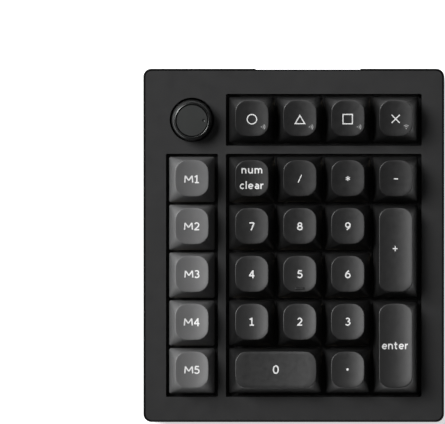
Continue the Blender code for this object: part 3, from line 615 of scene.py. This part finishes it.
def cap_stem(solid, ceiling):
    """The round boss under the roof, with a cross-shaped socket for the slider's stem."""
    arm, half = SOCKET_ARM, SOCKET_HALF
    cross = ((arm, half), (half, half), (half, arm), (-half, arm), (-half, half), (-arm, half))
    cross += tuple((-x, -y) for x, y in cross)
    socket = []
    for i, point in enumerate(cross):
        socket += [point, blend_points(point, cross[(i + 1) % len(cross)], 0.5)]
    start = math.atan2(half, arm)
    ring = []
    for i in range(len(socket)):
        angle = start + 2 * math.pi * i / len(socket)
        ring.append((BOSS_RADIUS * math.cos(angle), BOSS_RADIUS * math.sin(angle)))
    rings = [
        [(x, y, BOSS_Z + SOCKET_DEPTH) for x, y in socket],
        [(x, y, BOSS_Z) for x, y in socket],
        [(x, y, BOSS_Z) for x, y in ring],
        [(x, y, ceiling + INTO_ROOF) for x, y in ring],
    ]
    solid.loft(rings)


def stab_offsets(wide):
    return ((-STAB_REACH, 0), (STAB_REACH, 0)) if wide else ((0, -STAB_REACH), (0, STAB_REACH))


POST_SIZE = (4.4, 3.4)  # along the line between the two posts, and across it
CHEEK = 1.05
CHEEK_MIDDLE = 1.65
POST_WINDOW = 1.5  # half the height of the window
POST_SILL = 2.3  # from the window's middle down to the post's end
POST_OVERLAP = 0.2


def cap_posts(solid, shape, ceiling):
    """The two posts of a double keycap, each with a window for the stabiliser's wire."""
    wide = shape.wide > 1
    size_x, size_y = POST_SIZE if wide else POST_SIZE[::-1]
    middle = WIRE_Z + TRAVEL / 2 - CAP_BASE_Z
    cheek_reach = POST_WINDOW + POST_OVERLAP
    for x, y in stab_offsets(wide):
        solid.box((x, y), (size_x, size_y), (middle + POST_WINDOW, ceiling + INTO_ROOF))
        solid.box((x, y), (size_x, size_y), (middle - POST_SILL, middle - POST_WINDOW), 0.1)
        for side in (-CHEEK_MIDDLE, CHEEK_MIDDLE):
            place = (x + side, y) if wide else (x, y + side)
            size = (CHEEK, size_y) if wide else (size_x, CHEEK)
            solid.box(place, size, (middle - cheek_reach, middle + cheek_reach), 0.1)


SLIDER_SIZE = (6.6, 5.2)
SLIDER_Z = (-6.5, -1.2)
STEM_SIZE = (3.9, 1.2)
STEM_HEIGHT = 2.7


def slider_mesh(solid):
    """The switch's slider under the cap: its block and its cross-shaped stem."""
    low, high = SLIDER_Z
    solid.box((0, 0), SLIDER_SIZE, (low - CAP_BASE_Z, high - CAP_BASE_Z), 0.3)
    for size in (STEM_SIZE, STEM_SIZE[::-1]):
        solid.box((0, 0), size, (0.0, STEM_HEIGHT), 0.1)


def shifted(solid, x, y):
    return [(vx + x, vy + y, vz + CAP_BASE_Z) for vx, vy, vz in solid.verts]


def add_keys(finishes):
    for name, column, row, wide, deep, profile in KEYS:
        x, y = column * PITCH, row * PITCH
        shape = CapShape(wide, deep, profile)
        solid = Solid()
        ceiling = cap_shell(solid, shape)
        cap_stem(solid, ceiling)
        if wide + deep > 2:
            cap_posts(solid, shape, ceiling)
        if name == "5":
            homing_bar(solid, shape)
        colour = "grey" if column == MACRO_COLUMN else "black"
        verts, slot, body = shifted(solid, x, y), f"keycap_{colour}", f"key_{name}"
        cap = make_piece(f"cap_{name}", verts, solid.faces, finishes[colour], body)
        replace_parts(cap, f"keycap_{name}")
        slider = Solid()
        slider_mesh(slider)
        verts, slot = shifted(slider, x, y), "switch_plastic"
        make_piece(f"slider_{name}", verts, slider.faces, finishes["slider"], body)
        add_legends(name, shape, (x, y), finishes)


HOMING_Y = -4.8
HOMING_HALF = 1.8
HOMING_RADIUS = 0.42
HOMING_BLUNTNESS = 0.35  # share of the rounding that each end leaves out
HOMING_STEPS = 12
HOMING_SIDES = 10


def homing_bar(solid, shape):
    """The small raised bar near the front of the middle key, thinner towards its ends."""
    rings = []
    for i in range(HOMING_STEPS + 1):
        x = -HOMING_HALF + 2 * HOMING_HALF * i / HOMING_STEPS
        end = min(1.0, (HOMING_HALF - abs(x)) / HOMING_RADIUS + HOMING_BLUNTNESS)
        size = HOMING_RADIUS * math.sqrt(1 - (1 - end) ** 2)
        seat = shape.surface(x, HOMING_Y)
        ring = []
        for k in range(HOMING_SIDES):
            angle = 2 * math.pi * k / HOMING_SIDES
            ring.append((x, HOMING_Y + size * math.cos(angle), seat + size * math.sin(angle)))
        rings.append(ring)
    solid.loft(rings)


# ---------------------------------------------------------------- legends


def arc(centre, size, start, end, steps=12):
    """Points on an ellipse, angles in degrees, anticlockwise when end is greater."""
    points = []
    for i in range(steps + 1):
        angle = math.radians(start + (end - start) * i / steps)
        points.append((centre[0] + size[0] * math.cos(angle), centre[1] + size[1] * math.sin(angle)))
    return points


def glyph_table():
    """Middle lines of each sign. Capitals and digits are 1 high; small letters have bodies 1 high."""
    six = [arc((0.33, 0.31), (0.32, 0.31), 180, 540, 20)]
    six.append([(0.01, 0.31), (0.03, 0.46), (0.10, 0.62), (0.22, 0.78), (0.36, 0.91), (0.50, 1.0)])
    return {
        "M": [
            [(0, 0), (0.07, 1)],
            [(0.07, 1), (0.57, 0.30)],
            [(0.57, 0.30), (1.07, 1)],
            [(1.07, 1), (1.14, 0)],
        ],
        "1": [[(0.06, 0.80), (0.37, 1.0)], [(0.37, 1.08), (0.37, 0)], [(0.06, 0), (0.68, 0)]],
        "2": [arc((0.32, 0.69), (0.29, 0.31), 160, -38) + [(0.04, 0.0)], [(-0.04, 0), (0.68, 0)]],
        "3": [arc((0.30, 0.765), (0.26, 0.235), 150, -90), arc((0.30, 0.265), (0.31, 0.265), 90, -150)],
        "4": [[(0.52, -0.1), (0.52, 1.06)], [(0.52, 1.0), (0.0, 0.27)], [(-0.06, 0.27), (0.74, 0.27)]],
        "5": [
            [(0.62, 1), (0.11, 1)],
            [(0.13, 1.0), (0.09, 0.56)],
            arc((0.30, 0.31), (0.33, 0.31), 128, -150, 16),
        ],
        "6": six,
        "7": [[(-0.03, 1), (0.64, 1)], [(0.64, 1.0), (0.20, -0.1)]],
        "8": [
            arc((0.33, 0.765), (0.25, 0.235), 0, 360, 20),
            arc((0.33, 0.265), (0.32, 0.265), 0, 360, 20),
        ],
        "9": [[(0.66 - x, 1 - y) for x, y in line] for line in six],
        "0": [arc((0.35, 0.5), (0.35, 0.545), 0, 360, 24)],
        "n": [[(0, -0.1), (0, 1.12)], arc((0.42, 0.55), (0.42, 0.45), 180, 0) + [(0.84, -0.1)]],
        "u": [[(0, 1.1)] + arc((0.42, 0.45), (0.42, 0.45), 180, 360), [(0.84, 1.1), (0.84, -0.1)]],
        "m": [
            [(0, -0.1), (0, 1.12)],
            arc((0.37, 0.60), (0.37, 0.40), 180, 0) + [(0.74, -0.1)],
            arc((1.11, 0.60), (0.37, 0.40), 180, 0) + [(1.48, -0.1)],
        ],
        "c": [arc((0.46, 0.5), (0.46, 0.5), 48, 312, 16)],
        "l": [[(0, -0.1), (0, 1.7)]],
        "e": [arc((0.46, 0.5), (0.46, 0.5), 0, 318, 18), [(0.0, 0.5), (0.92, 0.5)]],
        "a": [
            [(0.10, 0.90)] + arc((0.40, 0.66), (0.36, 0.34), 110, 0) + [(0.76, -0.1)],
            arc((0.40, 0.29), (0.36, 0.29), 0, 360, 18),
        ],
        "r": [[(0, -0.1), (0, 1.12)], arc((0.44, 0.50), (0.44, 0.50), 180, 75, 8)],
        "t": [
            [(0.26, 1.5), (0.26, 0.34)] + arc((0.56, 0.32), (0.30, 0.32), 180, 275, 8),
            [(-0.06, 1), (0.66, 1)],
        ],
    }


GLYPHS = glyph_table()
LEGEND_STEP = 0.7  # longest piece of a stroke, so that it follows the dish
CLOSED = 1e-6  # a line whose ends are nearer than this is a loop
MITRE_LIMIT = 0.3
JOIN = 1e-5  # how near two corners of strokes are when they are one
INLAY_Z = (0.03, -0.15)  # heights of the inlay's two faces over the cap's surface


def text_signs(text, centre, body, weight, gap):
    """Polygons of each sign of a word, its middle lines body millimetres high, centred on a point."""
    glyphs, pen = [], 0.0
    for letter in text:
        lines = GLYPHS[letter]
        xs = [x for line in lines for x, _ in line]
        low, high = max(0.0, min(xs)), max(xs)
        glyphs.append([[(pen + (x - low) * body, y * body) for x, y in line] for line in lines])
        pen += (high - low) * body + weight + gap
    left = centre[0] - (pen - weight - gap) / 2
    signs = []
    for lines in glyphs:
        polygons = []
        for line in lines:
            moved = [(left + x, centre[1] - body / 2 + y) for x, y in line]
            polygons += stroke(moved, weight)
        signs.append(polygons)
    return signs


def stroke(line, weight):
    closed = math.dist(line[0], line[-1]) < CLOSED
    return ribbon(line[:-1] if closed else line, weight, closed)


def ribbon(line, weight, closed=False):
    """Quads along a line, mitred where it bends."""
    left, right = [], []
    count = len(line)
    for i, here in enumerate(line):
        before = line[i - 1] if i or closed else None
        after = line[(i + 1) % count] if i < count - 1 or closed else None
        here = Vector(here)
        first = (here - Vector(before)).normalized() if before else None
        second = (Vector(after) - here).normalized() if after else None
        first, second = first or second, second or first
        normal = Vector((first.y + second.y, -first.x - second.x)).normalized()
        reach = weight / 2 / max(MITRE_LIMIT, normal.dot(Vector((first.y, -first.x))))
        left.append(tuple(here - normal * reach))
        right.append(tuple(here + normal * reach))
    polygons = []
    for i in range(count if closed else count - 1):
        j = (i + 1) % count
        pieces = max(1, math.ceil(math.dist(line[i], line[j]) / LEGEND_STEP))
        for k in range(pieces):
            a, b = k / pieces, (k + 1) / pieces
            quad = [blend_points(right[i], right[j], share) for share in (a, b)]
            quad += [blend_points(left[i], left[j], share) for share in (b, a)]
            polygons.append(quad)
    return polygons


def inlay_sheet(polygons):
    """Flat corners and triangles of the joined polygons."""
    points, faces = [], []
    for polygon in polygons:
        start = len(points)
        points.extend(Vector(p) for p in polygon)
        faces.append(list(range(start, len(points))))
    flat, _, triangles, _, _, sources = delaunay_2d_cdt(points, [], faces, 0, JOIN)
    return flat, [tri for tri, source in zip(triangles, sources) if source]


def inlay(name, signs, shape, place, finish, body):
    """Thin inlaid sheets, one for each sign's joined polygons, laid on the cap's dished top."""
    verts, faces = [], []
    for polygons in signs:
        flat, kept = inlay_sheet(polygons)
        used = sorted({i for tri in kept for i in tri})
        order = {old: len(verts) + new for new, old in enumerate(used)}
        count = len(used)
        for lift in INLAY_Z:
            for old in used:
                x, y = flat[old]
                verts.append((x + place[0], y + place[1], shape.surface(x, y) + lift + CAP_BASE_Z))
        kept = [tuple(order[i] for i in tri) for tri in kept]
        sides = {(tri[i], tri[(i + 1) % 3]) for tri in kept for i in range(3)}
        faces += kept
        faces += [tuple(i + count for i in reversed(tri)) for tri in kept]
        faces += [(b, a, a + count, b + count) for a, b in sorted(sides) if (b, a) not in sides]
    return make_piece(name, verts, faces, finish, body)


WEIGHT = 0.52
WORD_WEIGHT = 0.5
STAR_WEIGHT = 0.33
MACRO_SIZE, DIGIT_SIZE, WORD_SIZE, ENTER_SIZE = 2.74, 2.72, 1.74, 1.76


def legend_signs(name):
    """The white signs on each key, in millimetres from the middle of the key's base."""
    if name[0] == "m" and name[1:].isdigit():
        place = (0.0, 0.62 if name == "m1" else 0.9)
        return text_signs("M" + name[1:], place, MACRO_SIZE, WEIGHT, 0.3)
    if name.isdigit():
        return text_signs(name, (0.0, 1.05 if name in "0123" else 0.88), DIGIT_SIZE, WEIGHT, 0.0)
    if name == "num_clear":
        upper = text_signs("num", (0.0, 3.95), WORD_SIZE, WORD_WEIGHT, 0.64)
        return upper + text_signs("clear", (0.0, -2.25), WORD_SIZE, WORD_WEIGHT, 0.5)
    if name == "enter":
        return text_signs("enter", (-0.2, 0.7), ENTER_SIZE, WORD_WEIGHT, 0.31)
    return [plain_sign(name)]


def plain_sign(name):
    """Polygons of one sign that isn't a letter or a digit."""
    if name == "plus":
        return stroke([(-1.2, 1.5), (0.7, 1.5)], 0.4) + stroke([(-0.25, 0.5), (-0.25, 2.5)], 0.4)
    if name == "divide":
        return stroke([(-0.72, -0.75), (0.72, 2.35)], 0.38)
    if name == "multiply":
        return star_sign(0.85, 0.95)
    if name == "minus":
        return stroke([(-0.78, 0.75), (0.78, 0.75)], 0.44)
    if name == "point":
        return [flat_circle(0.47, 20, (-0.1, 1.1))]
    if name == "circle":
        return stroke(arc((0.0, 0.6), (1.88, 1.88), 0, 360, 40), 0.4)
    if name == "triangle":
        return ribbon([(-1.9, -1.15), (1.9, -1.15), (0.0, 2.1)], 0.42, True)
    if name == "square":
        return ribbon([(-1.95, -1.2), (1.77, -1.2), (1.77, 2.52), (-1.95, 2.52)], 0.42, True)
    return stroke([(-1.7, -0.85), (1.5, 2.35)], 0.45) + stroke([(-1.7, 2.35), (1.5, -0.85)], 0.45)


def star_sign(y, reach):
    """Three crossed strokes, the first upright."""
    polygons = []
    for i in range(3):
        angle = math.radians(90 + 60 * i)
        dx, dy = reach * math.cos(angle), reach * math.sin(angle)
        polygons += stroke([(-dx, y - dy), (dx, y + dy)], STAR_WEIGHT)
    return polygons


def flat_circle(radius, count, centre):
    return [point[:2] for point in circle(radius, 0, count, centre)]


MARKS = {  # place of the dot, and the way from it to the arcs, in degrees
    "circle": ((3.75, -2.45), 0),
    "triangle": ((3.75, -2.45), 0),
    "square": ((3.75, -2.45), 0),
    "cross": ((4.1, -3.1), 90),
}
MARK_DOT = 0.24
MARK_ARCS = (0.8, 1.4)
MARK_SPREAD = 44
MARK_WEIGHT = 0.3


def signal_mark(centre, turn):
    """A dot with two arcs beside it: a plain mark for a wireless channel."""
    signs = [[flat_circle(MARK_DOT, 10, centre)]]
    for radius in MARK_ARCS:
        line = arc(centre, (radius, radius), turn - MARK_SPREAD, turn + MARK_SPREAD, 8)
        signs.append(stroke(line, MARK_WEIGHT))
    return signs


def add_legends(name, shape, place, finishes):
    body = f"key_{name}"
    inlay(f"legend_{name}", legend_signs(name), shape, place, finishes["legend"], body)
    if name in MARKS:
        inlay(f"mark_{name}", signal_mark(*MARKS[name]), shape, place, finishes["mark"], body)


# ---------------------------------------------------------------- knob

KNOB_SIDES = 96
KNOB_SHARP = math.radians(30)

# Radius and height round half of the knob's section.
RIM_PROFILE = ((6.12, 6.2), (6.2, 6.3), (6.5, 6.98), (6.57, 7.07), (6.67, 7.1), (6.78, 7.05))
CONE_PROFILE = ((7.48, 6.42), (7.58, 6.28), (7.94, 5.2), (8.0, 4.9))
GROOVE_PROFILE = ((8.0, 1.9), (7.9, 1.8), (7.9, 1.6), (8.0, 1.5))
SKIRT_PROFILE = ((8.0, -2.45), (7.85, -2.6), (7.05, -2.6), (6.9, -2.45), (6.9, 2.0))
BORE_PROFILE = ((4.6, 2.0), (4.6, 0.35), (4.45, 0.2), (3.4, 0.2), (3.3, 0.3), (3.3, 5.2))
KNOB_PROFILE = RIM_PROFILE + CONE_PROFILE + GROOVE_PROFILE + SKIRT_PROFILE + BORE_PROFILE

DISC_RADIUS = 6.1
DISC_Z = (6.05, 6.62)
DISC_EDGE = 0.08
DIMPLE_OUT = 4.75
DIMPLE_RADIUS = 0.72
DIMPLE_DEPTH = 0.55  # of a whole half ball; the bowl is its lower part
DIMPLE_SWEEP = (1.2, 0.9, 0.6, 0.3)  # angles from the bottom of the bowl, in radians
DIMPLE_SIDES = 24


def knob_piece(name, solid, finish):
    return make_piece(name, solid.verts, solid.faces, finish, "knob", KNOB_SHARP)


def knob_body(finishes):
    """The turned body: raised rim, cut cone, straight side with a fine groove, and the hollow below."""
    solid = Solid()
    solid.loft([circle(radius, z, KNOB_SIDES, KNOB_PLACE) for radius, z in KNOB_PROFILE])
    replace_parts(knob_piece("knob_cap", solid, finishes["knob"]), "knob")


def dimple_depth(angle):
    return DIMPLE_DEPTH * (math.cos(angle) - math.cos(DIMPLE_SWEEP[0]))


def dimple_rings(place):
    """A shallow bowl for a fingertip, from its mouth down."""
    rings = []
    for angle in DIMPLE_SWEEP:
        radius, z = DIMPLE_RADIUS * math.sin(angle), DISC_Z[1] - dimple_depth(angle)
        rings.append(circle(radius, z, DIMPLE_SIDES, place))
    return rings


def closed_loop(first, count):
    return [(first + i, first + (i + 1) % count) for i in range(count)]


def knob_disc(finishes):
    """The disc sunk inside the rim, with the dimple near its edge."""
    low, high = DISC_Z
    profile = ((DISC_RADIUS, low), (DISC_RADIUS, high - DISC_EDGE), (DISC_RADIUS - DISC_EDGE, high))
    solid = Solid()
    solid.loft([circle(radius, z, KNOB_SIDES, KNOB_PLACE) for radius, z in profile])
    solid.faces.pop()  # the plain top, which the one with a hole replaces
    top = [2 * KNOB_SIDES + i for i in range(KNOB_SIDES)]
    base = len(solid.verts)
    mouth = [base + i for i in range(DIMPLE_SIDES)]
    place = (KNOB_PLACE[0] + DIMPLE_OUT, KNOB_PLACE[1])
    solid.loft(dimple_rings(place), None, (*place, high - dimple_depth(0.0)))
    solid.faces.remove(tuple(reversed(mouth)))
    points = [Vector(solid.verts[i][:2]) for i in top + mouth]
    loops = closed_loop(0, KNOB_SIDES) + closed_loop(KNOB_SIDES, DIMPLE_SIDES)
    _, _, triangles, sources, _, _ = delaunay_2d_cdt(points, loops, [], 0, JOIN)
    names = [(top + mouth)[source[0]] for source in sources]
    for tri in triangles:
        corners = tuple(names[i] for i in tri)
        if min(corners) < base:  # the others lie inside the dimple's mouth
            solid.faces.append(corners)
    knob_piece("knob_disc", solid, finishes["knob_disc"])


# ---------------------------------------------------------------- pieces that keep their CAD shape

KEPT = {  # node: (finish, edge rounding in millimetres)
    "top_case": ("case", 0.2),
    "bottom_case": ("case", 0.2),
    "switch_plate": ("plate", 0.0),
    "main_circuit_board": ("board", 0.0),
    "connector_board": ("board", 0.0),
    "battery": ("wrap", 0.6),
    "ribbon_cable": ("cable", 0.0),
    "usb_c_port": ("steel", 0.06),
    "mode_switch_body": ("steel", 0.08),
    "system_switch_body": ("steel", 0.08),
    "mode_switch_lever": ("lever", 0.12),
    "system_switch_lever": ("lever", 0.12),
    "encoder_body": ("screw", 0.15),
    "encoder_shaft": ("steel", 0.2),
    "encoder_plunger": ("lever", 0.15),
}


def round_edges(piece, width):
    """Rounds the edges of a mesh, in modifiers that leave its corners where they are."""
    weld = piece.modifiers.new("weld", "WELD")
    weld.merge_threshold = MICRON
    bevel = piece.modifiers.new("rounding", "BEVEL")
    bevel.width = width * MM
    bevel.segments = 2
    bevel.limit_method = "ANGLE"
    bevel.angle_limit = math.radians(28)
    normals = piece.modifiers.new("flat_faces", "WEIGHTED_NORMAL")
    normals.weight = 100


def finish_node(node, finish, rounding):
    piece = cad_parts[node]
    for slot in piece.material_slots:
        slot.link = "OBJECT"
        slot.material = finish
    if rounding:
        round_edges(piece, rounding)


def finish_kept_nodes(finishes):
    corners = ("front_left", "front_right", "rear_left", "rear_right")
    table = dict(KEPT)
    table.update({f"foot_{corner}": ("foot", 0.5) for corner in corners})
    table.update({f"case_screw_{corner}": ("screw", 0.12) for corner in corners})
    table.update({f"gasket_{side}": ("gasket", 0.2) for side in ("left", "right", "front", "rear")})
    table.update({f"stabiliser_wire_{key}": ("steel", 0.0) for key in ("plus", "enter", "0")})
    for node, (finish, rounding) in table.items():
        finish_node(node, finishes[finish], rounding)


def add_foam(node, finishes):
    """A cell-foam sheet with soft edges in the place of its CAD solid."""
    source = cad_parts[node]
    mesh = source.data.copy()
    mesh.name = f"{node}_sheet"
    piece = bpy.data.objects.new(f"{node}_sheet", mesh)
    bpy.context.scene.collection.objects.link(piece)
    mesh.materials.clear()
    mesh.materials.append(finishes["foam"])
    round_edges(piece, 0.3)
    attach(piece, "case")
    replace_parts(piece, node)


# ---------------------------------------------------------------- studio


FLOOR_REACH = 4.0  # in metres, like the lights below
LIGHTS = (  # name, bearing and elevation in degrees, distance, size, watts
    ("key_light", 151, 45, 1.8, 1.0, 50.5),
    ("fill_light", 28, 62, 2.2, 1.2, 2.4),
)
BACKDROP_STRENGTH = 1.0
ROOM_STRENGTH = 0.055


def add_floor(finishes):
    bm = bmesh.new()
    bmesh.ops.create_grid(bm, x_segments=8, y_segments=8, size=FLOOR_REACH)
    floor = link_mesh("floor", bm, finishes["floor"])


def add_softbox(name, bearing, elevation, distance, size, watts):
    """A square light aimed at the deck; bearing is anticlockwise from the keypad's right."""
    data = bpy.data.lights.new(name, "AREA")
    data.size = size
    data.energy = watts
    lamp = bpy.data.objects.new(name, data)
    bpy.context.scene.collection.objects.link(lamp)
    a, e = math.radians(bearing), math.radians(elevation)
    aim = Vector((math.cos(a) * math.cos(e), math.sin(a) * math.cos(e), math.sin(e)))
    lamp.location = Vector((0, 0, LIFT * MM)) + aim * distance
    lamp.rotation_euler = aim.to_track_quat("Z", "Y").to_euler()
    lamp.visible_camera = False


def add_world():
    """A plain pale backdrop for the camera and a dim, even room for the light."""
    world = bpy.data.worlds.new("studio")
    bpy.context.scene.world = world
    world.use_nodes = True
    nodes, links = world.node_tree.nodes, world.node_tree.links
    nodes.clear()
    path = nodes.new("ShaderNodeLightPath")
    room, backdrop = nodes.new("ShaderNodeBackground"), nodes.new("ShaderNodeBackground")
    room.inputs["Color"].default_value = (1, 1, 1, 1)
    room.inputs["Strength"].default_value = ROOM_STRENGTH
    backdrop.inputs["Color"].default_value = (1, 1, 1, 1)
    backdrop.inputs["Strength"].default_value = BACKDROP_STRENGTH
    mix = nodes.new("ShaderNodeMixShader")
    out = nodes.new("ShaderNodeOutputWorld")
    links.new(path.outputs["Is Camera Ray"], mix.inputs["Fac"])
    links.new(room.outputs["Background"], mix.inputs[1])
    links.new(backdrop.outputs["Background"], mix.inputs[2])
    links.new(mix.outputs["Shader"], out.inputs["Surface"])


CAMERA_LEAN = math.radians(2.4)
CAMERA_DISTANCE = 5000.0
FRAME_WIDTH = 176.94
FRAME_OFFSET = (-28.33, 13.32)
SENSOR_WIDTH = 36


def add_camera():
    """A long lens that looks almost straight down at the deck."""
    data = bpy.data.cameras.new("camera")
    data.sensor_width = SENSOR_WIDTH
    data.lens = SENSOR_WIDTH * CAMERA_DISTANCE / FRAME_WIDTH
    data.clip_start = 0.05
    data.clip_end = 100
    camera = bpy.data.objects.new("camera", data)
    bpy.context.scene.collection.objects.link(camera)
    turn = Matrix.Rotation(CAMERA_LEAN, 4, "X")
    place = Vector((0, 0, LIFT)) + turn @ Vector((*FRAME_OFFSET, CAMERA_DISTANCE))
    camera.matrix_world = Matrix.Translation(place * MM) @ turn
    bpy.context.scene.camera = camera


def main():
    finishes = make_finishes()
    add_camera()
    add_world()
    for light in LIGHTS:
        add_softbox(*light)
    add_floor(finishes)
    add_keys(finishes)
    knob_body(finishes)
    knob_disc(finishes)
    finish_kept_nodes(finishes)
    for node in ("plate_foam", "case_foam"):
        add_foam(node, finishes)
    bpy.context.scene.view_settings.view_transform = "Standard"


main()
